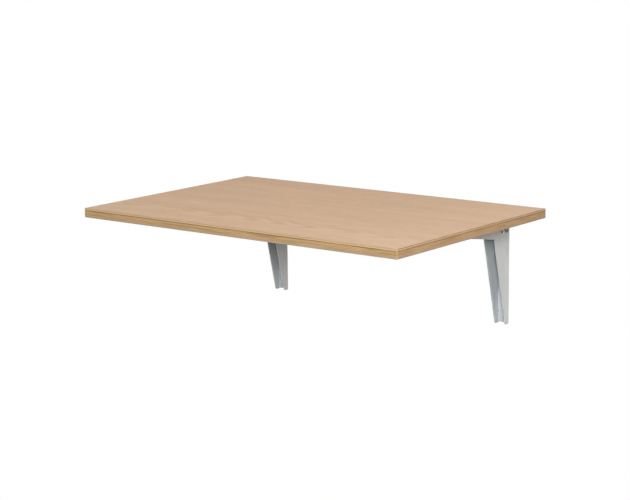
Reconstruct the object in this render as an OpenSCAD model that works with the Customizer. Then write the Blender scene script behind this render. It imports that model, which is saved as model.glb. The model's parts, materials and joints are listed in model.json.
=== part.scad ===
// Wall-mounted drop leaf table: a laminated top on two folding steel brackets.
// Millimetres, +Z up. The wall is the plane Y = 0 and the room lies toward -Y.
// The origin is on the wall, midway between the two middle wall-screw holes.
// In a side outline, x is the distance out from the wall and y is the height Z.

/* [Table top] */
// Width of the top along the wall
top_w = 900; // [500:10:1400]
// Depth of the top, from its rear edge to its front edge
top_d = 600; // [460:10:800]
// Thickness of the top with its laminates
top_t = 22; // [16:0.5:40]
// Thickness of each laminate sheet
laminate_t = 0.8; // [0.4:0.1:1.5]
// Thickness of the edging strips
edging_t = 2; // [1:0.5:4]
// Radius of the upright corners of the top
corner_r = 2.5; // [1:0.5:10]
// Distance of the line in the edging below the surface
line_drop = 5.3; // [2:0.1:12]
// Width of the line in the edging
line_w = 0.8; // [0.3:0.1:1.5]
// Depth of the line in the edging
line_depth = 0.5; // [0.2:0.1:0.8]
// Gap between the wall and the rear edge of the top
wall_gap = 5; // [3:0.5:12]

/* [Wall channels] */
// Distance from a side edge of the top to the outer face of its channel
bracket_inset = 100; // [40:5:160]
// Outside width of a wall channel
channel_w = 30; // [28:1:60]
// Thickness of the sheet steel
sheet_t = 2; // [1.5:0.1:3]
// Distance from the underside of the top to the foot of a channel
channel_drop = 266; // [240:2:420]
// Depth of a channel at its foot
toe_depth = 18; // [14:1:30]
// Radius of the rounded end of a channel about the pivot
head_r = 33; // [31:0.5:34]
// Radius of the corners at the foot
foot_r = 6.5; // [2:0.5:8]
// Outside radius of the bends in the sheet
bend_r = 3; // [3:0.5:5]
// Diameter of the wall-screw holes
wall_hole_d = 5.5; // [4:0.5:8]
// Spacing of the wall-screw holes up a channel
wall_hole_pitch = 80; // [65:1:90]
// Height of the lowest wall-screw hole above the foot
wall_hole_up = 29; // [15:1:40]

/* [Arms] */
// Gap between a channel and the arm that straddles it
arm_gap = 0.5; // [0.3:0.1:1]
// Distance from the wall to the front end of an arm
arm_reach = 420; // [340:5:440]
// Height of an arm, carried back to the wall plane
arm_h_rear = 64; // [58:1:72]
// Height of an arm at its front end
arm_h_front = 10; // [8:1:16]
// Distance from the wall at which the taper of an arm ends
arm_taper_end = 311; // [240:1:330]
// Radius that clears the wall when an arm turns about its pivot
arm_sweep_r = 37; // [36:0.5:37.5]
// Number of screws that hold an arm to the top
arm_screw_count = 4; // [3:1:6]
// Distance from the wall to the first arm screw
arm_screw_first = 118; // [110:1:150]
// Distance from the last arm screw to the front end of the arm
arm_screw_end = 16; // [10:1:30]
// Diameter of an arm screw
arm_screw_d = 4.5; // [3.5:0.5:6]
// Diameter of an arm screw's head
arm_screw_head_d = 9; // [7:0.5:12]
// Height of an arm screw's head
arm_screw_head_h = 2.6; // [2:0.1:4]
// Length of an arm screw under its head
arm_screw_l = 15; // [10:1:17]

/* [Pivots] */
// Distance of a pivot from the wall
pivot_out = 38; // [38:0.5:42]
// Distance of a pivot below the underside of the top
pivot_drop = 38; // [38:0.5:42]
// Diameter of a pivot pin
pin_d = 10; // [8:0.5:11]
// Wall of the bushes in an arm
bush_wall = 2; // [1:0.5:3]
// Running clearance between a pin and its bush, on the radius
pin_clear = 0.05; // [0.02:0.01:0.1]

/* [Locks] */
// Diameter of a lock bar
bar_d = 8; // [6:0.5:8]
// Clearance of a lock bar in its slots, on the radius
bar_clear = 0.2; // [0.15:0.05:0.3]
// Distance from the pivot to the lock bar with the leaf level
bar_r_level = 20; // [19:0.5:21]
// Travel of a lock bar toward the pivot as the leaf folds
bar_travel = 6; // [4:0.5:6]
// Depth of the notch that the lock bar drops into at the level
notch_depth = 4; // [2:0.5:4]
// Thickness of the slider sheet
slider_t = 1.5; // [1:0.1:2]
// Half height of a slider's sides
slider_half_h = 8; // [7.5:0.5:10]
// Distance from the lock bar to the front of the slider
slider_l = 45; // [42:1:48]
// Length of the finger tab below the slider
tab_l = 8; // [6:1:16]
// Clearance beside the slider and round the pin in its slots
slider_clear = 0.5; // [0.3:0.1:1]
// Distance from the wall to the spring seat on the arm
seat_out = 91; // [86:1:94]
// Mean radius of a lock spring
spring_r = 4.3; // [4:0.1:5]
// Wire diameter of a lock spring
wire_d = 1.1; // [0.8:0.1:1.4]
// Number of turns in a lock spring
spring_turns = 6; // [5:1:8]
// Length of a rest pad along the arm
pad_l = 14; // [8:1:16]
// Distance from the pivot to the near end of a rest pad
pad_near = 12; // [12:0.5:14]
// Gap that a rest pad keeps from the channel when the leaf hangs
pad_gap = 0.3; // [0.2:0.1:0.5]

/* [Hidden] */
$fn = 64;
// A cut runs this far past the faces that it opens
past = 1;

// Levels
under_z = channel_drop - wall_hole_up - wall_hole_pitch;
surface_z = under_z + top_t;
foot_z = under_z - channel_drop;
pivot_z = under_z - pivot_drop;
front_y = wall_gap + top_d;

// Widths across one bracket
bracket_x = top_w / 2 - bracket_inset - channel_w / 2;
arm_inside = channel_w + 2 * arm_gap;
arm_w = arm_inside + 2 * sheet_t;
slider_w = channel_w - 2 * sheet_t - 2 * slider_clear;

// The front edge of a channel is the tangent from its round head to its round toe
toe = [toe_depth - foot_r - pivot_out, foot_z + foot_r - pivot_z];
front_angle = atan2(toe[1], toe[0]) + acos((head_r - foot_r) / norm(toe));

// A rest pad just clears that front edge when the leaf hangs
pad_t = pivot_drop - sheet_t - pad_gap - (head_r + pad_near * sin(front_angle)) / cos(front_angle);

// The lock bar follows a spiral about the pivot as the leaf folds
function bar_r(fold) = bar_r_level - bar_travel * fold / 90;
function bar_pt(fold) = bar_r(fold) * [-cos(fold), sin(fold)];
function unit(v) = v / norm(v);
function bar_side(fold) =
    let (along = unit(bar_pt(fold + 1) - bar_pt(fold - 1)))
    [-along[1], along[0]];
slot_r = bar_d / 2 + bar_clear;

// Points along an arc, about one every five degrees
function arc(centre, r, from, to) =
    let (steps = ceil(abs(to - from) / 5))
    [for (i = [0 : steps]) let (a = from + (to - from) * i / steps) centre + r * [cos(a), sin(a)]];

// Side outlines are drawn in the wall-distance and height plane, then laid across X
module across(x, width) {
    translate([x, 0, 0])
        rotate([90, 0, -90])
            linear_extrude(height = width, center = true)
                children();
}

module rod_x(x0, x1, out, z, r) {
    translate([x0, -out, z])
        rotate([0, 90, 0])
            cylinder(h = x1 - x0, r = r);
}

// A flat U whose base bends have round corners, with the base along y = 0
module rounded_base(w, d, r) {
    translate([-w / 2 + r, 0]) square([w - 2 * r, d]);
    translate([-w / 2, r]) square([w, d - r]);
    for (s = [-1, 1])
        translate([s * (w / 2 - r), r]) circle(r = r);
}

module u_section(w, d, t, r) {
    difference() {
        rounded_base(w, d, r);
        translate([0, t]) rounded_base(w - 2 * t, d, r - t + 0.5);
    }
}

// A straight slot with round ends, along x
module slot(x0, x1, r) {
    polygon(concat(arc([x1, 0], r, -90, 90), arc([x0, 0], r, 90, 270)));
}

// ---- Table top ----

module plan(inset) {
    w = top_w - 2 * inset;
    d = top_d - 2 * inset;
    r = max(corner_r - inset, 0.1);
    translate([-w / 2 + r, -front_y + inset]) square([w - 2 * r, d]);
    translate([-w / 2, -front_y + inset + r]) square([w, d - 2 * r]);
    for (x = [-w / 2 + r, w / 2 - r], y = [-front_y + inset + r, -wall_gap - inset - r])
        translate([x, y]) circle(r = r);
}

module panel(z0, z1) {
    translate([-top_w / 2 + edging_t, -front_y + edging_t, z0])
        cube([top_w - 2 * edging_t, top_d - 2 * edging_t, z1 - z0]);
}

module leaf_core() {
    color("burlywood")
        difference() {
            panel(under_z + laminate_t, surface_z - laminate_t);
            all_screw_holes();
        }
}

module top_laminate() {
    color("tan") panel(surface_z - laminate_t, surface_z);
}

module underside_laminate() {
    color("tan")
        difference() {
            panel(under_z, under_z + laminate_t);
            all_screw_holes();
        }
}

// The edging all round, which the four strips are cut from
module edging_ring() {
    difference() {
        translate([0, 0, under_z]) linear_extrude(height = top_t) plan(0);
        panel(under_z - past, surface_z + past);
        translate([0, 0, surface_z - line_drop - line_w / 2])
            linear_extrude(height = line_w)
                difference() {
                    plan(-past);
                    plan(line_depth);
                }
    }
}

module edging_end(y0) {
    color("burlywood")
        intersection() {
            edging_ring();
            translate([-top_w, y0, under_z - past]) cube([2 * top_w, edging_t, top_t + 2 * past]);
        }
}

module edging_side(x0) {
    color("burlywood")
        intersection() {
            edging_ring();
            translate([x0, -front_y + edging_t, under_z - past])
                cube([edging_t, top_d - 2 * edging_t, top_t + 2 * past]);
        }
}

// ---- Arm screws ----

function screw_out(i) =
    arm_screw_first + i * (arm_reach - arm_screw_end - arm_screw_first) / (arm_screw_count - 1);

module screw_row(x, r, z0, z1) {
    for (i = [0 : arm_screw_count - 1])
        translate([x, -screw_out(i), z0]) cylinder(h = z1 - z0, r = r);
}

screw_tip_z = under_z - sheet_t + arm_screw_l;

module all_screw_holes() {
    for (x = [-bracket_x, bracket_x])
        screw_row(x, arm_screw_d / 2, under_z - past, screw_tip_z);
}

module arm_screws(x) {
    head_z = under_z - sheet_t - arm_screw_head_h;
    color("silver")
        difference() {
            union() {
                screw_row(x, arm_screw_d / 2, head_z, screw_tip_z);
                screw_row(x, arm_screw_head_d / 2, head_z, head_z + arm_screw_head_h);
            }
            // A cross recess in each head
            for (i = [0 : arm_screw_count - 1], turn = [0, 90])
                translate([x, -screw_out(i), head_z])
                    rotate([0, 0, turn + 45])
                        cube([arm_screw_head_d * 0.6, 1, 3], center = true);
        }
}

// ---- Wall channels, pins and spacers ----

module channel_outline() {
    polygon(concat(
        [[-past, pivot_z + head_r]],
        arc([pivot_out, pivot_z], head_r, 90, front_angle),
        arc([toe_depth - foot_r, foot_z + foot_r], foot_r, front_angle, -90),
        arc([foot_r, foot_z + foot_r], foot_r, -90, -180),
        [[-past, foot_z + foot_r]]
    ));
}

// The track that the lock bar runs along as the leaf folds
module bar_track() {
    outside = [for (f = [0 : 5 : 90]) bar_pt(f) + slot_r * bar_side(f)];
    inside = [for (f = [90 : -5 : 0]) bar_pt(f) - slot_r * bar_side(f)];
    end_a = atan2(bar_side(90)[1], bar_side(90)[0]);
    translate([pivot_out, pivot_z])
        polygon(concat(outside, arc(bar_pt(90), slot_r, end_a, end_a - 180), inside));
}

// The notch behind the track that holds the bar with the leaf level
module bar_notch() {
    translate([pivot_out, pivot_z]) slot(-bar_r_level - notch_depth, -bar_r_level, slot_r);
}

module wall_channel(x) {
    color("silver")
        difference() {
            intersection() {
                across(x, channel_w + 2 * past) channel_outline();
                translate([x, 0, foot_z - past])
                    rotate([0, 0, 180])
                        linear_extrude(height = channel_drop + 2 * past)
                            u_section(channel_w, pivot_out + head_r + past, sheet_t, bend_r);
            }
            across(x, channel_w + 2 * past) bar_track();
            across(x, channel_w + 2 * past) bar_notch();
            rod_x(x - channel_w, x + channel_w, pivot_out, pivot_z, pin_d / 2);
            for (i = [-1 : 1])
                translate([x, past, i * wall_hole_pitch])
                    rotate([90, 0, 0])
                        cylinder(h = sheet_t + 2 * past, r = wall_hole_d / 2);
        }
}

module pivot_pin(x) {
    half = arm_w / 2 - 0.3;
    color("gainsboro") rod_x(x - half, x + half, pivot_out, pivot_z, pin_d / 2);
}

module pin_spacer(x) {
    half = slider_w / 2 - slider_t - slider_clear;
    color("white")
        difference() {
            rod_x(x - half, x + half, pivot_out, pivot_z, pin_d / 2 + bush_wall);
            rod_x(x - half - past, x + half + past, pivot_out, pivot_z, pin_d / 2);
        }
}

// ---- Arms, bushes and rest pads ----

module arm_outline() {
    rear = wall_gap + 1;
    nose_r = arm_h_front * 0.6;
    pivot = [pivot_out, pivot_z];
    heel = [0, under_z - arm_h_rear] - pivot;
    knee = [arm_taper_end, under_z - arm_h_front] - pivot;
    // Behind the pivot the corner follows the sweep that clears the wall
    along = unit(knee - heel);
    offset_r = abs(heel[0] * along[1] - heel[1] * along[0]);
    corner = heel - along * (heel * along + sqrt(pow(arm_sweep_r, 2) - pow(offset_r, 2)));
    rear_a = -180 + acos((pivot_out - rear) / arm_sweep_r);
    polygon(concat(
        [[rear, under_z + past]],
        arc(pivot, arm_sweep_r, rear_a, atan2(corner[1], corner[0])),
        [pivot + knee],
        arc([arm_reach - nose_r, under_z - arm_h_front + nose_r], nose_r, -90, 0),
        [[arm_reach, under_z + past]]
    ));
}

module arm(x) {
    seat_half = slider_w / 2 - 4;
    color("silver")
        difference() {
            union() {
                intersection() {
                    across(x, arm_w + 2 * past) arm_outline();
                    translate([x, past, under_z])
                        rotate([90, 0, 0])
                            linear_extrude(height = arm_reach + 2 * past)
                                rotate(180) u_section(arm_w, arm_h_rear + past, sheet_t, bend_r);
                }
                // Spring seat, bent down from the plate, with its spigot
                translate([x - seat_half, -seat_out - sheet_t, pivot_z - spring_r - 4])
                    cube([2 * seat_half, sheet_t, pivot_drop - sheet_t / 2 + spring_r + 4]);
                translate([x, -seat_out - sheet_t / 2, pivot_z])
                    rotate([-90, 0, 0]) cylinder(h = 5 + sheet_t / 2, r = spring_r - wire_d - 0.3);
            }
            translate([0, 0, pivot_z])
                across(x, arm_w + 2 * past)
                    translate([pivot_out, 0])
                        slot(-bar_r_level - notch_depth, -bar_r_level + bar_travel, slot_r);
            rod_x(x - arm_w, x + arm_w, pivot_out, pivot_z, pin_d / 2 + pin_clear + bush_wall);
            screw_row(x, arm_screw_d / 2, under_z - sheet_t - past, under_z + past);
        }
}

module pivot_bushes(x) {
    bore = pin_d / 2 + pin_clear;
    color("whitesmoke")
        for (s = [-1, 1])
            difference() {
                rod_x(x + s * (arm_w - sheet_t) / 2 - sheet_t / 2, x + s * (arm_w - sheet_t) / 2 + sheet_t / 2,
                    pivot_out, pivot_z, bore + bush_wall);
                rod_x(x + s * arm_w / 2 - 2 * sheet_t, x + s * arm_w / 2 + 2 * sheet_t, pivot_out, pivot_z, bore);
            }
}

module rest_pad(x) {
    color("dimgray")
        translate([x - arm_inside / 2 + 1.5, -pivot_out - pad_near - pad_l, under_z - sheet_t - pad_t])
            cube([arm_inside - 3, pad_l, pad_t]);
}

// ---- Locks ----

module lock_bar(x) {
    half = arm_w / 2 + 0.4;
    color("gainsboro") rod_x(x - half, x + half, pivot_out - bar_r_level, pivot_z, bar_d / 2);
}

module slider_outline() {
    slot_half = pin_d / 2 + slider_clear;
    difference() {
        union() {
            circle(r = slider_half_h);
            translate([0, -slider_half_h]) square([slider_l, 2 * slider_half_h]);
            translate([slider_l - slider_t, -slider_half_h - tab_l]) square([slider_t, tab_l + 1]);
        }
        circle(r = bar_d / 2);
        slot(bar_r_level - bar_travel, bar_r_level + notch_depth, slot_half);
    }
}

module lock_slider(x) {
    bar_out = pivot_out - bar_r_level;
    web_out = bar_out + slider_l;
    color("gainsboro") {
        difference() {
            intersection() {
                translate([0, 0, pivot_z]) across(x, slider_w + 2 * past)
                    translate([bar_out, 0]) slider_outline();
                translate([x, -web_out, pivot_z - slider_half_h - tab_l - past])
                    linear_extrude(height = 2 * slider_half_h + tab_l + 2 * past)
                        u_section(slider_w, slider_l + slider_half_h + past, slider_t, 2);
            }
            // The finger tab is narrower than the slider
            for (s = [-1, 1])
                translate([x + s * slider_w / 2 - 3, -web_out - past, pivot_z - slider_half_h - tab_l - past])
                    cube([6, slider_t + 2 * past + 1, tab_l + past]);
        }
        translate([x, -web_out + slider_t / 2, pivot_z])
            rotate([90, 0, 0]) cylinder(h = 5 + slider_t / 2, r = spring_r - wire_d - 0.3);
    }
}

// A round wire swept along a helix between the slider and the seat
module lock_spring(x) {
    sides = 6;
    per_turn = 12;
    rings = spring_turns * per_turn;
    y0 = pivot_out - bar_r_level + slider_l + wire_d / 2 + 0.1;
    y1 = seat_out - wire_d / 2 - 0.1;
    function wire_pt(i, k) =
        let (turn = 360 * i / per_turn, side = 360 * k / sides)
        let (reach = spring_r + wire_d / 2 * cos(side))
        [reach * cos(turn), -(y0 + (y1 - y0) * i / rings) + wire_d / 2 * sin(side), reach * sin(turn)];
    points = [for (i = [0 : rings], k = [0 : sides - 1]) wire_pt(i, k)];
    walls = [for (i = [0 : rings - 1], k = [0 : sides - 1])
        let (n = (k + 1) % sides)
        each [
            [i * sides + k, i * sides + n, (i + 1) * sides + n],
            [i * sides + k, (i + 1) * sides + n, (i + 1) * sides + k]
        ]];
    ends = [
        [for (k = [sides - 1 : -1 : 0]) k],
        [for (k = [0 : sides - 1]) rings * sides + k]
    ];
    color("dimgray")
        translate([x, 0, pivot_z])
            polyhedron(points = points, faces = concat(walls, ends));
}

leaf_core();
top_laminate();
underside_laminate();
edging_end(-front_y);  // front_edging
edging_end(-wall_gap - edging_t);  // rear_edging
edging_side(-top_w / 2);  // left_edging
edging_side(top_w / 2 - edging_t);  // right_edging
wall_channel(-bracket_x);  // left_wall_channel
wall_channel(bracket_x);  // right_wall_channel
arm(-bracket_x);  // left_arm
arm(bracket_x);  // right_arm
arm_screws(-bracket_x);  // left_arm_screws
arm_screws(bracket_x);  // right_arm_screws
pivot_pin(-bracket_x);  // left_pivot_pin
pivot_pin(bracket_x);  // right_pivot_pin
pin_spacer(-bracket_x);  // left_pin_spacer
pin_spacer(bracket_x);  // right_pin_spacer
pivot_bushes(-bracket_x);  // left_pivot_bushes
pivot_bushes(bracket_x);  // right_pivot_bushes
lock_bar(-bracket_x);  // left_lock_bar
lock_bar(bracket_x);  // right_lock_bar
lock_slider(-bracket_x);  // left_lock_slider
lock_slider(bracket_x);  // right_lock_slider
lock_spring(-bracket_x);  // left_lock_spring
lock_spring(bracket_x);  // right_lock_spring
rest_pad(-bracket_x);  // left_rest_pad
rest_pad(bracket_x);  // right_rest_pad
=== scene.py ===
import json
import math
import bmesh
import bpy
from mathutils import Matrix, Vector


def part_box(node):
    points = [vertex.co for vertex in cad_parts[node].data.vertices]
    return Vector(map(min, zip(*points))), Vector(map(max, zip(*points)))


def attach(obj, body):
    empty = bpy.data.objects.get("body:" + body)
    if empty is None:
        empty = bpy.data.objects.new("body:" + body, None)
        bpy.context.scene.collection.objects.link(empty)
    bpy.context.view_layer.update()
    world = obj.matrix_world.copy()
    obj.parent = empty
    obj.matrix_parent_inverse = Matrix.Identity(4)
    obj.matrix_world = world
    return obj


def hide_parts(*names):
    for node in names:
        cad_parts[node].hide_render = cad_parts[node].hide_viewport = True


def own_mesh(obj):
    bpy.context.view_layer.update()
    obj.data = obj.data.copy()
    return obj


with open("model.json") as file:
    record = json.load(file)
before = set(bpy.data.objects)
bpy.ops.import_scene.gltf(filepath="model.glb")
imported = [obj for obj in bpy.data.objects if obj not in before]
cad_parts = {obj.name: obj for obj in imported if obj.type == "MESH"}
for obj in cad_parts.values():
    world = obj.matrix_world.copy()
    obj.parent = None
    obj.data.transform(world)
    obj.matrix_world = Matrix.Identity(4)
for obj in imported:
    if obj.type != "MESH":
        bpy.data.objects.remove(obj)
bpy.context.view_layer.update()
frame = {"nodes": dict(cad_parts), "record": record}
mm = 0.001
sides = ("left", "right")
print("frame loaded:", len(frame["nodes"]), "nodes")


# camera

cameraSettings = {
    "azimuth": 37.706,     # degrees round from straight in front
    "elevation": 11.033,   # degrees above the horizon
    "roll": -0.61,         # degrees
    "lens": 103.06,        # mm on a 36 mm sensor
    "place": (2.5442, -3.5906, 0.8899),
}


def placeCamera(settings):
    az, el, roll = (math.radians(settings[k]) for k in ("azimuth", "elevation", "roll"))
    back = Vector((math.sin(az) * math.cos(el), -math.cos(az) * math.cos(el), math.sin(el)))
    right = Vector((math.cos(az), math.sin(az), 0))
    up = back.cross(right)
    turnedRight = right * math.cos(roll) + up * math.sin(roll)
    turnedUp = up * math.cos(roll) - right * math.sin(roll)
    data = bpy.data.cameras.new("camera")
    data.lens = settings["lens"]
    data.sensor_width = 36
    data.sensor_fit = "HORIZONTAL"
    camera = bpy.data.objects.new("camera", data)
    turn = Matrix((turnedRight, turnedUp, back)).transposed().to_4x4()
    camera.matrix_world = Matrix.Translation(settings["place"]) @ turn
    bpy.context.collection.objects.link(camera)
    bpy.context.scene.camera = camera


placeCamera(cameraSettings)
bpy.context.scene.view_settings.view_transform = "Standard"
print("camera placed")


# places read from the frame

leafLow = Vector([min(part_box(n)[0][i] for n in ("front_edging", "rear_edging")) for i in range(3)])
leafHigh = Vector([max(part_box(n)[1][i] for n in ("front_edging", "rear_edging")) for i in range(3)])
leafLow.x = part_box("left_edging")[0][0]
leafHigh.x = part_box("right_edging")[1][0]
leafThickness = leafHigh.z - leafLow.z


def centreOf(node):
    low, high = (Vector(c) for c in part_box(node))
    return (low + high) / 2


def sizeOf(node):
    low, high = (Vector(c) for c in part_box(node))
    return high - low


def bodyOf(node):
    for body, names in frame["record"]["behaviour"]["bodies"].items():
        if node in names:
            return body


# node tree helpers

def put(tree, kind, inputs=None, **settings):
    # adds one node, sets its properties, and sets or links its inputs
    node = tree.nodes.new(kind)
    for name, value in settings.items():
        setattr(node, name, value)
    for name, value in (inputs or {}).items():
        if isinstance(value, bpy.types.NodeSocket):
            tree.links.new(value, node.inputs[name])
        else:
            node.inputs[name].default_value = value
    return node


def calc(tree, operation, a, b=0.0):
    return put(tree, "ShaderNodeMath", {0: a, 1: b}, operation=operation).outputs[0]


def plus(tree, a, b):
    return calc(tree, "ADD", a, b)


def minus(tree, a, b):
    return calc(tree, "SUBTRACT", a, b)


def times(tree, a, b):
    return calc(tree, "MULTIPLY", a, b)


def ramp(tree, factor, stops):
    # stops: (position, grey from 0 to 1) pairs
    node = put(tree, "ShaderNodeValToRGB", {"Fac": factor})
    band = node.color_ramp
    for i, (position, grey) in enumerate(stops):
        stop = band.elements[i] if i < 2 else band.elements.new(position)
        stop.position = position
        stop.color = (grey, grey, grey, 1)
    return node.outputs["Color"]


def noise(tree, place, scale=1.0, detail=2.0, roughness=0.5):
    inputs = {"Vector": place, "Scale": scale, "Detail": detail, "Roughness": roughness}
    return put(tree, "ShaderNodeTexNoise", inputs).outputs["Fac"]


def mixColour(tree, factor, a, b):
    node = put(tree, "ShaderNodeMix", data_type="RGBA")
    factorSocket, aSocket, bSocket, result = node.inputs[0], node.inputs[6], node.inputs[7], node.outputs[2]
    for socket, value in ((factorSocket, factor), (aSocket, a), (bSocket, b)):
        if isinstance(value, bpy.types.NodeSocket):
            tree.links.new(value, socket)
        elif isinstance(value, (int, float)):
            socket.default_value = value
        else:
            socket.default_value = (*value, 1)
    return result


def objectPlace(tree, scale=(1, 1, 1), turn=(0, 0, 0)):
    coords = put(tree, "ShaderNodeTexCoord").outputs["Object"]
    inputs = {"Vector": coords, "Scale": scale, "Rotation": turn}
    return put(tree, "ShaderNodeMapping", inputs).outputs["Vector"]


def newGroup(name, inputs, outputs):
    tree = bpy.data.node_groups.new(name, "ShaderNodeTree")
    for label, kind, value in inputs:
        socket = tree.interface.new_socket(label, in_out="INPUT", socket_type=kind)
        if value is not None:
            socket.default_value = value
    for label in outputs:
        tree.interface.new_socket(label, in_out="OUTPUT", socket_type="NodeSocketFloat")
    return tree, tree.nodes.new("NodeGroupInput").outputs, tree.nodes.new("NodeGroupOutput")


def giveOut(tree, end, results):
    for label, socket in results.items():
        tree.links.new(socket, end.inputs[label])
    return tree


def useGroup(tree, group, inputs):
    return put(tree, "ShaderNodeGroup", inputs, node_tree=group).outputs


# shared effects

def buildWoodGrain():
    # a board sawn along X through a tapering trunk; every output is 0 to 1
    tree, start, end = newGroup("woodGrain", (
        ("Vector", "NodeSocketVector", None),
        ("Ring Width", "NodeSocketFloat", 0.009),
        ("Heart", "NodeSocketFloat", 0.0),
        ("Heart Depth", "NodeSocketFloat", 0.03),
        ("Taper", "NodeSocketFloat", 0.05),
        ("Warp", "NodeSocketFloat", 0.02),
        ("Swell", "NodeSocketFloat", 0.0),
        ("Fibres", "NodeSocketFloat", 500.0),
        ("Fibre Run", "NodeSocketFloat", 16.0),
    ), ("Ring", "Fibre", "Pore", "Cloud"))
    parts = put(tree, "ShaderNodeSeparateXYZ", {"Vector": start["Vector"]}).outputs

    def stretched(along, across, detail, roughness=0.55):
        # noise drawn out along X; along and across are features to a metre
        inputs = {
            "X": times(tree, parts["X"], along),
            "Y": times(tree, parts["Y"], across),
            "Z": times(tree, parts["Z"], across),
        }
        place = put(tree, "ShaderNodeCombineXYZ", inputs).outputs["Vector"]
        return noise(tree, place, 1.0, detail, roughness)

    def drift(along, across, detail, amount):
        # wanders to either side of nothing
        return times(tree, minus(tree, stretched(along, across, detail), 0.5), amount)

    sway = drift(1.7, 6.0, 2.0, start["Warp"])
    swell = drift(3.1, 3.4, 1.0, start["Swell"])
    ripple = drift(11.0, 70.0, 2.0, start["Ring Width"])
    # how far each point lies from the heart of the trunk
    off = plus(tree, minus(tree, parts["Y"], start["Heart"]), sway)
    squares = plus(tree, calc(tree, "POWER", off, 2.0), calc(tree, "POWER", start["Heart Depth"], 2.0))
    reach = plus(tree, calc(tree, "SQRT", squares), swell)
    reach = minus(tree, reach, times(tree, parts["X"], start["Taper"]))
    phase = calc(tree, "FRACT", calc(tree, "DIVIDE", plus(tree, reach, ripple), start["Ring Width"]))
    ring = ramp(tree, phase, ((0.0, 0.15), (0.12, 0.0), (0.4, 0.75), (0.75, 1.0), (0.93, 0.7), (1.0, 0.15)))
    fibre = stretched(start["Fibre Run"], start["Fibres"], 4.0, 0.62)
    # open pores crowd into the early part of each ring
    crowd = times(tree, minus(tree, 1.0, ring), 0.12)
    pore = ramp(tree, plus(tree, stretched(48.0, 1150.0, 1.0), crowd), ((0.66, 0), (0.74, 1)))
    cloud = stretched(1.6, 22.0, 3.0)
    return giveOut(tree, end, {"Ring": ring, "Fibre": fibre, "Pore": pore, "Cloud": cloud})


def buildHandling():
    # faint scuffs and dust, the same on every material
    inputs = (("Scale", "NodeSocketFloat", 1.0),)
    tree, start, end = newGroup("handling", inputs, ("Scuff", "Dust", "Cloud"))
    place = put(tree, "ShaderNodeTexCoord").outputs["Object"]
    cloud = noise(tree, place, times(tree, start["Scale"], 9.0), 4.0, 0.55)
    speck = noise(tree, place, times(tree, start["Scale"], 420.0))
    rubs = noise(tree, objectPlace(tree, scale=(60, 900, 260), turn=(0.3, 0.2, 0.6)), start["Scale"])
    scuff = times(tree, ramp(tree, rubs, ((0.64, 0), (0.75, 1))), ramp(tree, cloud, ((0.45, 0), (0.65, 1))))
    dust = times(tree, ramp(tree, speck, ((0.55, 0), (0.75, 1))), cloud)
    return giveOut(tree, end, {"Scuff": scuff, "Dust": dust, "Cloud": cloud})


def buildOrangePeel():
    # the fine dimples of powder coat and moulded plastic
    inputs = (("Scale", "NodeSocketFloat", 900.0),)
    tree, start, end = newGroup("orangePeel", inputs, ("Height", "Speckle"))
    place = put(tree, "ShaderNodeTexCoord").outputs["Object"]
    coarse = noise(tree, place, start["Scale"])
    cells = {"Vector": place, "Scale": times(tree, start["Scale"], 1.7)}
    fine = put(tree, "ShaderNodeTexVoronoi", cells, feature="SMOOTH_F1").outputs["Distance"]
    height = plus(tree, coarse, times(tree, fine, 0.35))
    return giveOut(tree, end, {"Height": height, "Speckle": ramp(tree, fine, ((0.1, 1), (0.5, 0)))})


woodGrain = buildWoodGrain()
handling = buildHandling()
orangePeel = buildOrangePeel()


# materials

def newMaterial(name, constants):
    # constants: values that are the same all over, set on the shader's own sockets
    material = bpy.data.materials.new(name)
    material.use_nodes = True
    tree = material.node_tree
    shader = tree.nodes["Principled BSDF"]
    for label, value in constants.items():
        shader.inputs[label].default_value = value
    return material, tree, shader


def addBump(tree, shader, height, strength, distance):
    relief = put(tree, "ShaderNodeBump", {"Height": height, "Strength": strength, "Distance": distance})
    tree.links.new(relief.outputs["Normal"], shader.inputs["Normal"])


def finishShader(tree, shader, colour, roughness, height, bump):
    # bump: strength and distance
    tree.links.new(colour, shader.inputs["Base Color"])
    tree.links.new(roughness, shader.inputs["Roughness"])
    addBump(tree, shader, height, *bump)


oakSettings = {
    "light": (0.628, 0.436, 0.296),
    "dark": (0.484, 0.323, 0.210),
    "pore": (0.334, 0.210, 0.126),
    "poreDepth": 0.45,
    "roughness": 0.50,
    "bump": (0.35, 0.06 * mm),
    "grain": {
        "Ring Width": 0.0100, "Heart": -0.500, "Heart Depth": 0.035, "Taper": -0.095,
        "Warp": 0.05, "Swell": 0.022, "Fibres": 430.0,
    },
    "patches": (3.2, 7.5, 7.5),   # to a metre, where the rings show plainly
    "ringDepth": 0.27,
}


def makeOakLaminate(settings):
    material, tree, shader = newMaterial("oakLaminate", {"Specular IOR Level": 0.35})
    grain = useGroup(tree, woodGrain, {"Vector": objectPlace(tree), **settings["grain"]})
    marks = useGroup(tree, handling, {"Scale": 1.0})
    # the rings are plain in some patches and faint in the rest
    patch = noise(tree, objectPlace(tree, scale=settings["patches"]))
    plain = ramp(tree, patch, ((0.40, 0.35), (0.66, 1.0)))
    ring = times(tree, minus(tree, grain["Ring"], 0.6), times(tree, plain, settings["ringDepth"]))
    tone = plus(tree, times(tree, grain["Fibre"], 0.45), plus(tree, ring, 0.12))
    tone = plus(tree, tone, times(tree, grain["Cloud"], 0.35))
    colour = mixColour(tree, ramp(tree, tone, ((0.36, 1), (0.72, 0))), settings["light"], settings["dark"])
    colour = mixColour(tree, times(tree, grain["Pore"], settings["poreDepth"]), colour, settings["pore"])
    rough = plus(tree, times(tree, marks["Cloud"], 0.12), settings["roughness"] - 0.06)
    rough = minus(tree, rough, times(tree, marks["Scuff"], 0.08))
    height = minus(tree, times(tree, grain["Fibre"], 0.4), grain["Pore"])
    finishShader(tree, shader, colour, rough, height, settings["bump"])
    return material


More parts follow.
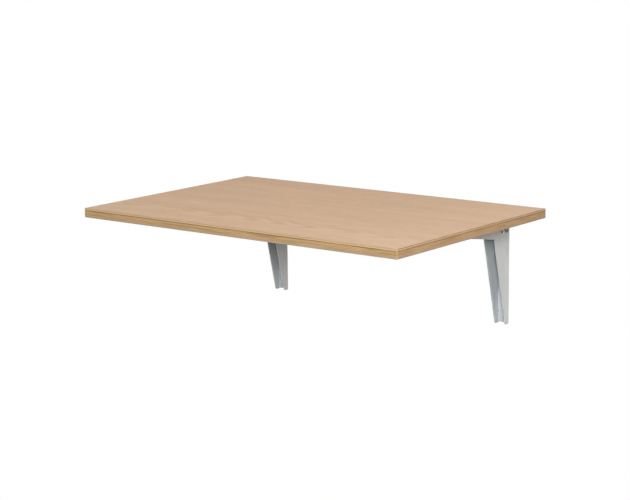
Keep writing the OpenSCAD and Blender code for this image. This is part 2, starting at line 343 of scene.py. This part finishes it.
edgingSettings = {
    "pale": (0.345, 0.236, 0.136),     # the lipping above the line
    "golden": (0.345, 0.212, 0.101),   # the body of the strip
    "deep": (0.215, 0.126, 0.056),
    # line: the dark of the pores, the arris joint and the groove; in the groove it is partly painted shade
    "line": (0.110, 0.063, 0.026),
    "foot": (0.222, 0.170, 0.118),     # the greyer bottom edge
    "corner": (0.330, 0.228, 0.130),
    "paintedEndLight": (1.08, 1.10, 1.20),     # painted light: the end strips are tinted lighter and bluer for how light falls on the ends
    "cornerReach": 2.2 * mm,
    "lineDrop": 5.3 * mm,
    "lineHalf": 0.70 * mm,
    "arrisDepth": {"X": 0.25, "Y": 0.55},
    "roughness": 0.36,
    "bump": (0.3, 0.08 * mm),
    "grain": {
        "Ring Width": 0.0031, "Heart": 0.4, "Heart Depth": 0.02, "Taper": 0.012,
        "Warp": 0.006, "Fibres": 620.0, "Fibre Run": 24.0,
    },
    "streaks": (11, 11, 190),          # to a metre
    "turns": {"X": (-90, 0, 0), "Y": (-90, -90, 0)},
}


def stripBody(tree, settings, along, share, streak):
    # the wood of one strip, from its pale lipping down to its greyer foot
    # painted light: the end strips take a lighter, bluer tint than the front and back strips, for the light
    # on the ends
    tint = settings["paintedEndLight"] if along == "Y" else (1.0, 1.0, 1.0)
    golden, deep = (tuple(c * t for c, t in zip(settings[k], tint)) for k in ("golden", "deep"))
    turn = tuple(math.radians(a) for a in settings["turns"][along])
    grain = useGroup(tree, woodGrain, {"Vector": objectPlace(tree, turn=turn), **settings["grain"]})
    tone = plus(tree, times(tree, grain["Ring"], 0.4), times(tree, grain["Fibre"], 0.6))
    colour = mixColour(tree, ramp(tree, tone, ((0.32, 1), (0.70, 0))), golden, deep)
    colour = mixColour(tree, times(tree, grain["Pore"], 0.4), colour, settings["line"])
    colour = mixColour(tree, ramp(tree, streak, ((0.35, 0.95), (0.53, 0.0))), colour, deep)
    lineTop = (settings["lineDrop"] - settings["lineHalf"]) / leafThickness
    lipping = ramp(tree, share, ((lineTop - 0.01, 1), (lineTop, 0)))
    colour = mixColour(tree, times(tree, lipping, 0.75), colour, settings["pale"])
    foot = ramp(tree, share, ((0.62, 0), (0.97, 1)))
    colour = mixColour(tree, times(tree, foot, 0.8), colour, settings["foot"])
    arris = ramp(tree, share, ((0.0, 0.4), (0.03, 1), (0.055, 1), (0.075, 0)))
    colour = mixColour(tree, times(tree, arris, settings["arrisDepth"][along]), colour, settings["line"])
    return colour, minus(tree, grain["Fibre"], grain["Pore"])


def cornerMask(tree, settings, parts, share):
    # the upright corners, where the strips meet
    toSide = minus(tree, leafHigh.x, calc(tree, "ABSOLUTE", parts["X"]))
    middleY = (leafLow.y + leafHigh.y) / 2
    fromMiddle = calc(tree, "ABSOLUTE", minus(tree, parts["Y"], middleY))
    away = calc(tree, "MAXIMUM", toSide, minus(tree, (leafHigh.y - leafLow.y) / 2, fromMiddle))
    near = ramp(tree, calc(tree, "DIVIDE", away, settings["cornerReach"]), ((0.5, 1), (1.0, 0)))
    return times(tree, near, ramp(tree, share, ((0.08, 0.3), (0.3, 1))))


def makeOakEdging(settings, along):
    # along is the axis that the strip runs along
    material, tree, shader = newMaterial("oakEdgingAlong" + along, {"Specular IOR Level": 0.4})
    marks = useGroup(tree, handling, {"Scale": 1.4})
    parts = put(tree, "ShaderNodeSeparateXYZ", {"Vector": objectPlace(tree)}).outputs
    # share is 0 at the top of the leaf and 1 at its underside
    share = calc(tree, "DIVIDE", minus(tree, leafHigh.z, parts["Z"]), leafThickness)
    streak = noise(tree, objectPlace(tree, scale=settings["streaks"]), 1.0, 3.0, 0.6)
    colour, height = stripBody(tree, settings, along, share, streak)
    corner = cornerMask(tree, settings, parts, share)
    colour = mixColour(tree, times(tree, corner, 0.25), colour, settings["corner"])
    lineTop = (settings["lineDrop"] - settings["lineHalf"]) / leafThickness
    lineFoot = (settings["lineDrop"] + settings["lineHalf"]) / leafThickness
    # painted shade: the groove line is painted near black, a dark joint deepened with painted shade for the
    # groove's recess
    line = ramp(tree, share, ((lineTop - 0.004, 0), (lineTop, 1), (lineFoot, 1), (lineFoot + 0.004, 0)))
    lined = times(tree, line, minus(tree, 1.0, times(tree, corner, 0.6)))
    faded = ramp(tree, streak, ((0.4, 1.0), (0.7, 0.7)))
    colour = mixColour(tree, times(tree, lined, faded), colour, settings["line"])
    rough = plus(tree, times(tree, marks["Cloud"], 0.15), settings["roughness"])
    finishShader(tree, shader, colour, rough, height, settings["bump"])
    return material


chipboardSettings = {
    "colours": ((0.48, 0.33, 0.19), (0.62, 0.46, 0.29)),
    "chips": 330.0,                # to a metre
    "roughness": 0.9,
    "bump": (0.6, 0.4 * mm),
}


def makeChipboard(settings):
    material, tree, shader = newMaterial("chipboard", {"Roughness": settings["roughness"]})
    cells = {"Vector": objectPlace(tree, scale=(1, 1, 2.5)), "Scale": settings["chips"]}
    chips = put(tree, "ShaderNodeTexVoronoi", cells).outputs
    tree.links.new(mixColour(tree, chips["Color"], *settings["colours"]), shader.inputs["Base Color"])
    addBump(tree, shader, chips["Distance"], *settings["bump"])
    return material


paintSettings = {
    "base": (0.530, 0.526, 0.508),
    "cool": (0.466, 0.470, 0.466),
    "speckle": (0.62, 0.62, 0.605),
    "run": (0.44, 0.44, 0.43),
    "scuff": (0.31, 0.32, 0.33),
    "roughness": 0.42,
    "peel": 1100.0,
    "bump": (0.30, 0.25 * mm),
}


def makeSilverPaint(settings):
    material, tree, shader = newMaterial("silverPaint", {"Metallic": 0.25, "Specular IOR Level": 0.45})
    peel = useGroup(tree, orangePeel, {"Scale": settings["peel"]})
    marks = useGroup(tree, handling, {"Scale": 2.2})
    shade = ramp(tree, marks["Cloud"], ((0.35, 0), (0.68, 1)))
    colour = mixColour(tree, shade, settings["base"], settings["cool"])
    colour = mixColour(tree, times(tree, peel["Speckle"], 0.30), colour, settings["speckle"])
    # faint upright runs left by the spray
    runs = ramp(tree, noise(tree, objectPlace(tree, scale=(170, 170, 5))), ((0.35, 0.30), (0.65, 0.0)))
    colour = mixColour(tree, runs, colour, settings["run"])
    colour = mixColour(tree, times(tree, marks["Scuff"], 0.35), colour, settings["scuff"])
    rough = plus(tree, times(tree, marks["Cloud"], 0.16), settings["roughness"] - 0.06)
    rough = plus(tree, rough, times(tree, marks["Dust"], 0.15))
    finishShader(tree, shader, colour, rough, peel["Height"], settings["bump"])
    return material


plateSettings = {
    "zincPlate": {
        "colours": ((0.60, 0.61, 0.62), (0.72, 0.71, 0.66)),
        "roughness": 0.30,
        "drawn": 2600.0,           # fine draw marks to a metre
        "bump": (0.15, 0.05 * mm),
    },
    "springSteel": {
        "colours": ((0.24, 0.24, 0.25), (0.36, 0.35, 0.34)),
        "roughness": 0.34,
        "drawn": 3800.0,
        "bump": (0.15, 0.05 * mm),
    },
}


def makePlatedSteel(name):
    settings = plateSettings[name]
    material, tree, shader = newMaterial(name, {"Metallic": 1.0})
    marks = useGroup(tree, handling, {"Scale": 6.0})
    drawn = settings["drawn"]
    lines = noise(tree, objectPlace(tree, scale=(drawn / 20, drawn, drawn)), 1.0, 3.0)
    tone = plus(tree, times(tree, marks["Cloud"], 0.6), times(tree, lines, 0.4))
    colour = mixColour(tree, ramp(tree, tone, ((0.38, 0), (0.62, 1))), *settings["colours"])
    rough = plus(tree, times(tree, lines, 0.18), settings["roughness"] - 0.09)
    finishShader(tree, shader, colour, rough, lines, settings["bump"])
    return material


mouldedSettings = {
    "greyNylon": {
        "colours": ((0.50, 0.51, 0.52), (0.57, 0.57, 0.57)),
        "roughness": 0.45,
        "peel": 1500.0,
        "bump": (0.25, 0.2 * mm),
    },
    "blackRubber": {
        "colours": ((0.022, 0.022, 0.023), (0.040, 0.040, 0.040)),
        "roughness": 0.75,
        "peel": 700.0,
        "bump": (0.6, 0.2 * mm),
    },
}
dustColour = (0.55, 0.54, 0.52)


def makeMoulded(name):
    settings = mouldedSettings[name]
    material, tree, shader = newMaterial(name, {"Specular IOR Level": 0.4})
    peel = useGroup(tree, orangePeel, {"Scale": settings["peel"]})
    marks = useGroup(tree, handling, {"Scale": 5.0})
    colour = mixColour(tree, ramp(tree, marks["Cloud"], ((0.35, 0), (0.65, 1))), *settings["colours"])
    colour = mixColour(tree, times(tree, marks["Dust"], 0.12), colour, dustColour)
    rough = plus(tree, times(tree, marks["Cloud"], 0.2), settings["roughness"] - 0.1)
    finishShader(tree, shader, colour, rough, peel["Height"], settings["bump"])
    return material


oakLaminate = makeOakLaminate(oakSettings)
oakEdgingX = makeOakEdging(edgingSettings, "X")
oakEdgingY = makeOakEdging(edgingSettings, "Y")
chipboard = makeChipboard(chipboardSettings)
silverPaint = makeSilverPaint(paintSettings)
zincPlate, springSteel = (makePlatedSteel(name) for name in ("zincPlate", "springSteel"))
greyNylon, blackRubber = (makeMoulded(name) for name in ("greyNylon", "blackRubber"))
print("materials made")


# mesh helpers

def finishPiece(name, mesh, material, body, nodes):
    piece = bpy.data.objects.new(name, mesh)
    bpy.context.collection.objects.link(piece)
    mesh.materials.clear()
    mesh.materials.append(material)
    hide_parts(*nodes)
    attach(piece, body)
    return piece


def shadeByAngle(mesh, degrees=32):
    mesh.polygons.foreach_set("use_smooth", [True] * len(mesh.polygons))
    mesh.set_sharp_from_angle(angle=math.radians(degrees))


def mergedCopy(node):
    # the CAD mesh as joined faces, with flat regions made whole again
    mesh = frame["nodes"][node].data.copy()
    work = bmesh.new()
    work.from_mesh(mesh)
    bmesh.ops.remove_doubles(work, verts=work.verts, dist=1e-6)
    bmesh.ops.dissolve_limit(work, angle_limit=math.radians(0.3), verts=work.verts, edges=work.edges)
    bmesh.ops.recalc_face_normals(work, faces=work.faces)
    work.to_mesh(mesh)
    work.free()
    return mesh


def addBevel(piece, width, segments=3, limit="ANGLE"):
    bevel = piece.modifiers.new("softEdges", "BEVEL")
    bevel.width = width
    bevel.segments = segments
    bevel.limit_method = limit
    bevel.angle_limit = math.radians(40)
    bevel.harden_normals = True
    bevel.use_clamp_overlap = True


def lathe(profile, centre, steps=48):
    # profile: closed loop of (x, radius) points, turned about the X axis through centre
    mesh = bpy.data.meshes.new("turned")
    work = bmesh.new()
    rings = []
    for i in range(steps):
        angle = 2 * math.pi * i / steps
        ring = []
        for x, r in profile:
            if r == 0 and rings:
                ring.append(rings[0][len(ring)])   # one shared point on the axis
            else:
                place = centre + Vector((x, r * math.cos(angle), r * math.sin(angle)))
                ring.append(work.verts.new(place))
        rings.append(ring)
    count = len(profile)
    for i in range(steps):
        a, b = rings[i], rings[(i + 1) % steps]
        for j in range(count):
            k = (j + 1) % count
            corners = []
            for point in (a[j], a[k], b[k], b[j]):
                if point not in corners:
                    corners.append(point)
            if len(corners) > 2:
                work.faces.new(corners)
    bmesh.ops.recalc_face_normals(work, faces=work.faces)
    work.to_mesh(mesh)
    work.free()
    shadeByAngle(mesh)
    return mesh


def chamferedRod(half, r, chamfer, dimple=0.0):
    # one end's points, from the middle of its face out; the other end mirrors it
    face = [(half - dimple, 0), (half - dimple * 0.4, r * 0.35), (half, r * 0.55)]
    end = face + [(half, r - chamfer), (half - chamfer, r)]
    return end + [(-x, radius) for x, radius in reversed(end)]


def chamferedTube(low, high, bore, r, chamfer):
    return [
        (low, bore + chamfer), (low, r - chamfer), (low + chamfer, r),
        (high - chamfer, r), (high, r - chamfer), (high, bore + chamfer),
        (high - chamfer, bore), (low + chamfer, bore),
    ]


# leaf

boardMaterials = {"leaf_core": chipboard, "top_laminate": oakLaminate, "underside_laminate": oakLaminate}
for node, material in boardMaterials.items():
    frame["nodes"][node].data.materials.clear()
    frame["nodes"][node].data.materials.append(material)

edgingShape = {"arris": 0.7 * mm, "segments": 4, "cornerRadius": 2.5 * mm, "slack": 0.01 * mm}


def onOutline(point):
    # true on the outer upright faces of the leaf
    low, high, slack, corner = leafLow, leafHigh, edgingShape["slack"], edgingShape["cornerRadius"]
    onFlat = min(point.x - low.x, high.x - point.x, point.y - low.y, high.y - point.y) < slack
    middleY, halfDepth = (low.y + high.y) / 2, (high.y - low.y) / 2
    pastX = max(abs(point.x) - high.x + corner, 0)
    pastY = max(abs(point.y - middleY) - halfDepth + corner, 0)
    return onFlat or abs(math.hypot(pastX, pastY) - corner) < slack * 5


def makeEdging(node, material):
    mesh = mergedCopy(node)
    weights = mesh.attributes.new("bevel_weight_edge", "FLOAT", "EDGE")
    for edge in mesh.edges:
        ends = [mesh.vertices[i].co for i in edge.vertices]
        level = any(all(abs(p.z - z) < 1e-6 for p in ends) for z in (leafLow.z, leafHigh.z))
        if level and all(onOutline(p) for p in ends):
            weights.data[edge.index].value = 1.0
    shadeByAngle(mesh)
    name = node.replace("_edging", "EdgingStrip")
    piece = finishPiece(name, mesh, material, "leaf", [node])
    addBevel(piece, edgingShape["arris"], edgingShape["segments"], "WEIGHT")


for node, material in (("front_edging", oakEdgingX), ("rear_edging", oakEdgingX),
                       ("left_edging", oakEdgingY), ("right_edging", oakEdgingY)):
    makeEdging(node, material)
print("leaf made")


# bent steel: channels, arms and lock sliders

sheetSettings = {
    "wall_channel": ("WallChannel", silverPaint, "silver_paint", 0.30 * mm),
    "arm": ("BracketArm", silverPaint, "silver_paint", 0.30 * mm),
    "lock_slider": ("LockSlider", zincPlate, "zinc_plate", 0.20 * mm),
}

for side in sides:
    for kind, (label, material, slot, edge) in sheetSettings.items():
        node = side + "_" + kind
        mesh = mergedCopy(node)
        shadeByAngle(mesh)
        piece = finishPiece(side + label, mesh, material, bodyOf(node), [node])
        addBevel(piece, edge, 2)
print("bent steel made")


# turned parts: pins, spacers, bushes and lock bars

turnedShape = {
    "pinChamfer": 0.6 * mm,
    "pinDimple": 0.8 * mm,
    "barChamfer": 0.7 * mm,
    "spacerChamfer": 0.3 * mm,
    "bushWall": 2 * mm,      # also each bush's length
    "bushChamfer": 0.25 * mm,
}


def makePin(side, shape):
    node = side + "_pivot_pin"
    size = sizeOf(node)
    rod = chamferedRod(size.x / 2, size.z / 2, shape["pinChamfer"], shape["pinDimple"])
    mesh = lathe(rod, centreOf(node))
    finishPiece(side + "PivotPin", mesh, zincPlate, "wall_brackets", [node])


def makeLockBar(side, shape):
    node = side + "_lock_bar"
    size = sizeOf(node)
    mesh = lathe(chamferedRod(size.x / 2, size.z / 2, shape["barChamfer"]), centreOf(node))
    finishPiece(side + "LockBar", mesh, zincPlate, side + "_lock", [node])


def makeSpacer(side, shape):
    node = side + "_pin_spacer"
    size = sizeOf(node)
    bore = sizeOf(side + "_pivot_pin").z / 2
    tube = chamferedTube(-size.x / 2, size.x / 2, bore, size.z / 2, shape["spacerChamfer"])
    mesh = lathe(tube, centreOf(node))
    finishPiece(side + "PinSpacer", mesh, greyNylon, "wall_brackets", [node])


def makeBushes(side, shape):
    # the two bushes of one arm, as one piece
    node = side + "_pivot_bushes"
    half, r, wall = sizeOf(node).x / 2, sizeOf(node).z / 2, shape["bushWall"]
    mesh = bpy.data.meshes.new("bushes")
    work = bmesh.new()
    for low, high in ((-half, -half + wall), (half - wall, half)):
        work.from_mesh(lathe(chamferedTube(low, high, r - wall, r, shape["bushChamfer"]), centreOf(node)))
    work.to_mesh(mesh)
    work.free()
    shadeByAngle(mesh)
    finishPiece(side + "PivotBushes", mesh, greyNylon, "leaf", [node])


for side in sides:
    for make in (makePin, makeLockBar, makeSpacer, makeBushes):
        make(side, turnedShape)
print("turned parts made")


# geometry node helpers

def newGeometryTree(name, inputs):
    tree = bpy.data.node_groups.new(name, "GeometryNodeTree")
    for label, kind, value in inputs:
        tree.interface.new_socket(label, in_out="INPUT", socket_type=kind).default_value = value
    tree.interface.new_socket("Geometry", in_out="OUTPUT", socket_type="NodeSocketGeometry")
    return tree, tree.nodes.new("NodeGroupInput").outputs, tree.nodes.new("NodeGroupOutput")


def endTree(tree, end, geometry, material):
    real = put(tree, "GeometryNodeRealizeInstances", {"Geometry": geometry}).outputs["Geometry"]
    painted = put(tree, "GeometryNodeSetMaterial", {"Geometry": real, "Material": material})
    tree.links.new(painted.outputs["Geometry"], end.inputs["Geometry"])


def geometryMesh(tree, values):
    # runs the tree with these input values and returns its result as a plain mesh
    host = bpy.data.objects.new("maker", bpy.data.meshes.new("maker"))
    bpy.context.collection.objects.link(host)
    modifier = host.modifiers.new("maker", "NODES")
    modifier.node_group = tree
    for item in tree.interface.items_tree:
        if item.in_out == "INPUT" and item.name in values:
            modifier[item.identifier] = values[item.name]
    depsgraph = bpy.context.evaluated_depsgraph_get()
    result = bpy.data.meshes.new_from_object(host.evaluated_get(depsgraph))
    host.modifiers.remove(modifier)
    bpy.data.objects.remove(host)
    return result


# arm screws

screwShape = {
    "count": 4,
    "headRadius": 4.5 * mm,
    "headHeight": 2.6 * mm,
    "domeShare": 0.75,        # of the head's height
    "domeSteps": 8,
    "shankRadius": 2.2 * mm,
    "point": 3.5 * mm,
    "steps": 32,
    "recess": (2.6 * mm, 5.2 * mm, 1.1 * mm),   # twice its depth, its length and its width
}


def screwBody(shape, length):
    # one screw, turned about X with its head at the low end
    head, r, shank, steps = (shape[k] for k in ("headHeight", "headRadius", "shankRadius", "domeSteps"))
    dome = []
    for i in range(1, steps + 1):
        angle = math.radians(90 - 90 * i / steps)
        dome.append((head * (1 - math.sin(angle)) * shape["domeShare"], r * math.cos(angle) * 0.999))
    stem = [(head, r * 0.99), (head, shank), (length - shape["point"], shank), (length, 0)]
    return lathe([(0, 0)] + dome + stem, Vector((0, 0, 0)), shape["steps"])


def buildScrewTree():
    tree, start, end = newGeometryTree("armScrews", (
        ("Count", "NodeSocketInt", 4), ("First", "NodeSocketVector", (0, 0, 0)),
        ("Step", "NodeSocketVector", (0, -0.1, 0)), ("Recess", "NodeSocketVector", (0.002, 0.005, 0.001)),
    ))
    body = bpy.data.objects.new("screwBody", screwBody(screwShape, sizeOf("left_arm_screws").z))
    bpy.context.collection.objects.link(body)
    screw = put(tree, "GeometryNodeObjectInfo", {"Object": body}).outputs["Geometry"]
    arms = []
    for turn in (45, 135):
        cube = put(tree, "GeometryNodeMeshCube", {"Size": start["Recess"]})
        turned = put(tree, "GeometryNodeTransform", {
            "Geometry": cube.outputs["Mesh"], "Rotation": (math.radians(turn), 0, 0)})
        arms.append(turned.outputs["Geometry"])
    cut = put(tree, "GeometryNodeMeshBoolean", {"Mesh 1": screw}, operation="DIFFERENCE", solver="EXACT")
    for arm in arms:
        tree.links.new(arm, cut.inputs["Mesh 2"])
    # heads face down, so the screw's X axis turns to point up
    upright = put(tree, "GeometryNodeTransform", {
        "Geometry": cut.outputs["Mesh"], "Rotation": (0, math.radians(-90), 0)}).outputs["Geometry"]
    row = put(tree, "GeometryNodeMeshLine", {
        "Count": start["Count"], "Start Location": start["First"], "Offset": start["Step"]}, mode="OFFSET")
    placed = put(tree, "GeometryNodeInstanceOnPoints", {"Points": row.outputs["Mesh"], "Instance": upright})
    endTree(tree, end, placed.outputs["Instances"], zincPlate)
    return tree, body


screwTree, screwMould = buildScrewTree()
for side in sides:
    node = side + "_arm_screws"
    low, high = (Vector(c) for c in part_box(node))
    half = (high.x - low.x) / 2
    span = (high.y - low.y) - 2 * half
    mesh = geometryMesh(screwTree, {
        "Count": screwShape["count"], "First": ((low.x + high.x) / 2, high.y - half, low.z),
        "Step": (0, -span / (screwShape["count"] - 1), 0), "Recess": screwShape["recess"]})
    finishPiece(side + "ArmScrews", mesh, zincPlate, "leaf", [node])
    shadeByAngle(mesh)
bpy.data.objects.remove(screwMould)
print("arm screws made")


# lock springs

springShape = {
    "turns": 7.5,
    "wire": 1.1 * mm,
    "points": 260,
    "endEase": 0.85 / (2 * math.pi),   # how far the end coils close up
    "travel": 6 * mm,
}


def buildSpringTree():
    # a wire round the Y axis whose end coils lie closed
    tree, start, end = newGeometryTree("lockSpring", (
        ("Turns", "NodeSocketFloat", 7.0), ("Radius", "NodeSocketFloat", 0.004),
        ("Wire Radius", "NodeSocketFloat", 0.0005), ("Length", "NodeSocketFloat", 0.027),
        ("Near End", "NodeSocketVector", (0, 0, 0)), ("Points", "NodeSocketInt", 200),
        ("End Ease", "NodeSocketFloat", 0.1),
    ))
    line = put(tree, "GeometryNodeCurvePrimitiveLine", {"End": (0, 0, 1)})
    fine = put(tree, "GeometryNodeResampleCurve", {
        "Curve": line.outputs["Curve"], "Count": start["Points"]})
    along = put(tree, "GeometryNodeSplineParameter").outputs["Factor"]
    angle = times(tree, times(tree, along, start["Turns"]), 2 * math.pi)
    # the pitch dies away toward both ends
    wave = calc(tree, "SINE", times(tree, along, 2 * math.pi))
    eased = minus(tree, along, times(tree, wave, start["End Ease"]))
    inputs = {
        "X": times(tree, calc(tree, "COSINE", angle), start["Radius"]),
        "Y": times(tree, times(tree, eased, start["Length"]), -1.0),
        "Z": times(tree, calc(tree, "SINE", angle), start["Radius"]),
    }
    place = put(tree, "ShaderNodeCombineXYZ", inputs).outputs["Vector"]
    coil = put(tree, "GeometryNodeSetPosition", {"Geometry": fine.outputs["Curve"], "Position": place})
    moved = put(tree, "GeometryNodeTransform", {
        "Geometry": coil.outputs["Geometry"], "Translation": start["Near End"]})
    section = put(tree, "GeometryNodeCurvePrimitiveCircle", {
        "Radius": start["Wire Radius"], "Resolution": 10})
    wire = put(tree, "GeometryNodeCurveToMesh", {
        "Curve": moved.outputs["Geometry"], "Profile Curve": section.outputs["Curve"], "Fill Caps": True})
    endTree(tree, end, wire.outputs["Mesh"], springSteel)
    return tree


springTree = buildSpringTree()
for side in sides:
    node = side + "_lock_spring"
    low, high = (Vector(c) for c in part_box(node))
    rest = high.y - low.y
    wireRadius = springShape["wire"] / 2
    mesh = geometryMesh(springTree, {
        "Turns": springShape["turns"], "Points": springShape["points"],
        "End Ease": springShape["endEase"], "Wire Radius": wireRadius,
        "Radius": (high.x - low.x) / 2 - wireRadius, "Length": rest - 2 * wireRadius,
        "Near End": ((low.x + high.x) / 2, high.y - wireRadius, (low.z + high.z) / 2)})
    piece = finishPiece(side + "LockSpring", mesh, springSteel, "leaf", [node])
    shadeByAngle(mesh, 60)
    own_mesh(piece)
print("lock springs made")


# rest pads

padShape = {"ribs": 5, "ribDepth": 0.5 * mm, "pointsPerRib": 8}


def makePad(side):
    node = side + "_rest_pad"
    low, high = (Vector(c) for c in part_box(node))
    length = high.y - low.y
    steps = padShape["pointsPerRib"] * padShape["ribs"]
    foot = []
    for i in range(steps + 1):
        share = i / steps
        rib = 0.5 + 0.5 * math.cos(2 * math.pi * padShape["ribs"] * share)
        foot.append((low.y + share * length, low.z + padShape["ribDepth"] * rib))
    outline = foot + [(high.y, high.z), (low.y, high.z)]
    mesh = bpy.data.meshes.new("pad")
    work = bmesh.new()
    ends = [[work.verts.new((x, y, z)) for y, z in outline] for x in (low.x, high.x)]
    for i in range(len(outline)):
        j = (i + 1) % len(outline)
        work.faces.new((ends[0][i], ends[0][j], ends[1][j], ends[1][i]))
    work.faces.new(ends[0])
    work.faces.new(list(reversed(ends[1])))
    bmesh.ops.recalc_face_normals(work, faces=work.faces)
    work.to_mesh(mesh)
    work.free()
    shadeByAngle(mesh)
    finishPiece(side + "RestPad", mesh, blackRubber, "leaf", [node])


for side in sides:
    makePad(side)
print("rest pads made")


# floor and light

studio = {
    "floorDrop": 0.74,      # below the table's surface
    "floorSize": 60.0,
    "ambient": 0.115,
    "target": (0, -0.3, 0.1),
    "lights": {             # place, size across, power in watts, colour, whether it shows in gloss
        "besideCamera": ((2.8, -4.0, 1.3), 1.0, 275.0, (0.92, 1.0, 1.08), False),
        "frontLeft": ((-5.0, -4.4, 2.8), 2.5, 480.0, (0.97, 1.0, 0.98), False),
        "frontRight": ((2.4, -3.4, 1.6), 1.5, 73.0, (0.93, 1.0, 1.08), False),
        "right": ((3.6, -0.3, 0.6), 2.0, 47.0, (1.10, 1.0, 0.91), True),
        "aboveRight": ((2.4, -0.3, 2.4), 2.0, 35.0, (1.10, 1.0, 0.93), True),
        "behind": ((0.0, 3.4, 2.0), 2.0, 33.0, (1.08, 1.0, 0.92), True),
        "lowBehind": ((-0.5, 3.8, 0.2), 2.0, 40.0, (1.0, 1.0, 1.0), False),
        "underneath": ((-0.9, 2.6, -0.38), 0.5, 90.0, (1.0, 1.0, 1.0), False),
    },
}


def makeFloor(settings):
    # white to look at, it gives back little light, so the shade under the leaf stays; clear from below
    material = bpy.data.materials.new("floorPaint")
    material.use_nodes = True
    tree = material.node_tree
    tree.nodes.remove(tree.nodes["Principled BSDF"])
    cloud = noise(tree, objectPlace(tree), 1.2, 3.0)
    glow = put(tree, "ShaderNodeEmission", {"Color": ramp(tree, cloud, ((0, 0.995), (1, 1.0)))})
    dim = put(tree, "ShaderNodeEmission", {"Strength": settings["ambient"]})
    seen = put(tree, "ShaderNodeLightPath").outputs["Is Camera Ray"]
    both = put(tree, "ShaderNodeMixShader", {0: seen, 1: dim.outputs[0], 2: glow.outputs[0]})
    clear = put(tree, "ShaderNodeBsdfTransparent")
    below = put(tree, "ShaderNodeNewGeometry").outputs["Backfacing"]
    sided = put(tree, "ShaderNodeMixShader", {0: below, 1: both.outputs[0], 2: clear.outputs[0]})
    tree.links.new(sided.outputs[0], tree.nodes["Material Output"].inputs["Surface"])
    half = settings["floorSize"] / 2
    z = leafHigh.z - settings["floorDrop"]
    mesh = bpy.data.meshes.new("floor")
    corners = [(x * half, y * half, z) for x, y in ((-1, -1), (1, -1), (1, 1), (-1, 1))]
    mesh.from_pydata(corners, [], [(0, 1, 2, 3)])
    mesh.materials.append(material)
    floor = bpy.data.objects.new("floor", mesh)
    bpy.context.collection.objects.link(floor)


def makeLight(name, place, size, power, colour, glossy, target):
    data = bpy.data.lights.new(name, "AREA")
    data.energy = power
    data.size = size
    data.color = colour
    light = bpy.data.objects.new(name, data)
    light.location = place
    light.rotation_euler = (Vector(target) - Vector(place)).to_track_quat("-Z", "Y").to_euler()
    light.visible_camera = False
    light.visible_glossy = glossy
    bpy.context.collection.objects.link(light)


makeFloor(studio)
for name, settings in studio["lights"].items():
    makeLight(name, *settings, studio["target"])


def makeWorld(settings):
    # white behind the table, and dim for everything it lights
    world = bpy.data.worlds.new("studio")
    world.use_nodes = True
    tree = world.node_tree
    dim = tree.nodes["Background"]
    dim.inputs["Color"].default_value = (1, 1, 1, 1)
    dim.inputs["Strength"].default_value = settings["ambient"]
    white = put(tree, "ShaderNodeBackground", {"Color": (1, 1, 1, 1), "Strength": 1.0})
    seen = put(tree, "ShaderNodeLightPath").outputs["Is Camera Ray"]
    both = put(tree, "ShaderNodeMixShader", {0: seen, 1: dim.outputs[0], 2: white.outputs[0]})
    tree.links.new(both.outputs[0], tree.nodes["World Output"].inputs["Surface"])
    bpy.context.scene.world = world


makeWorld(studio)
print("studio lit")
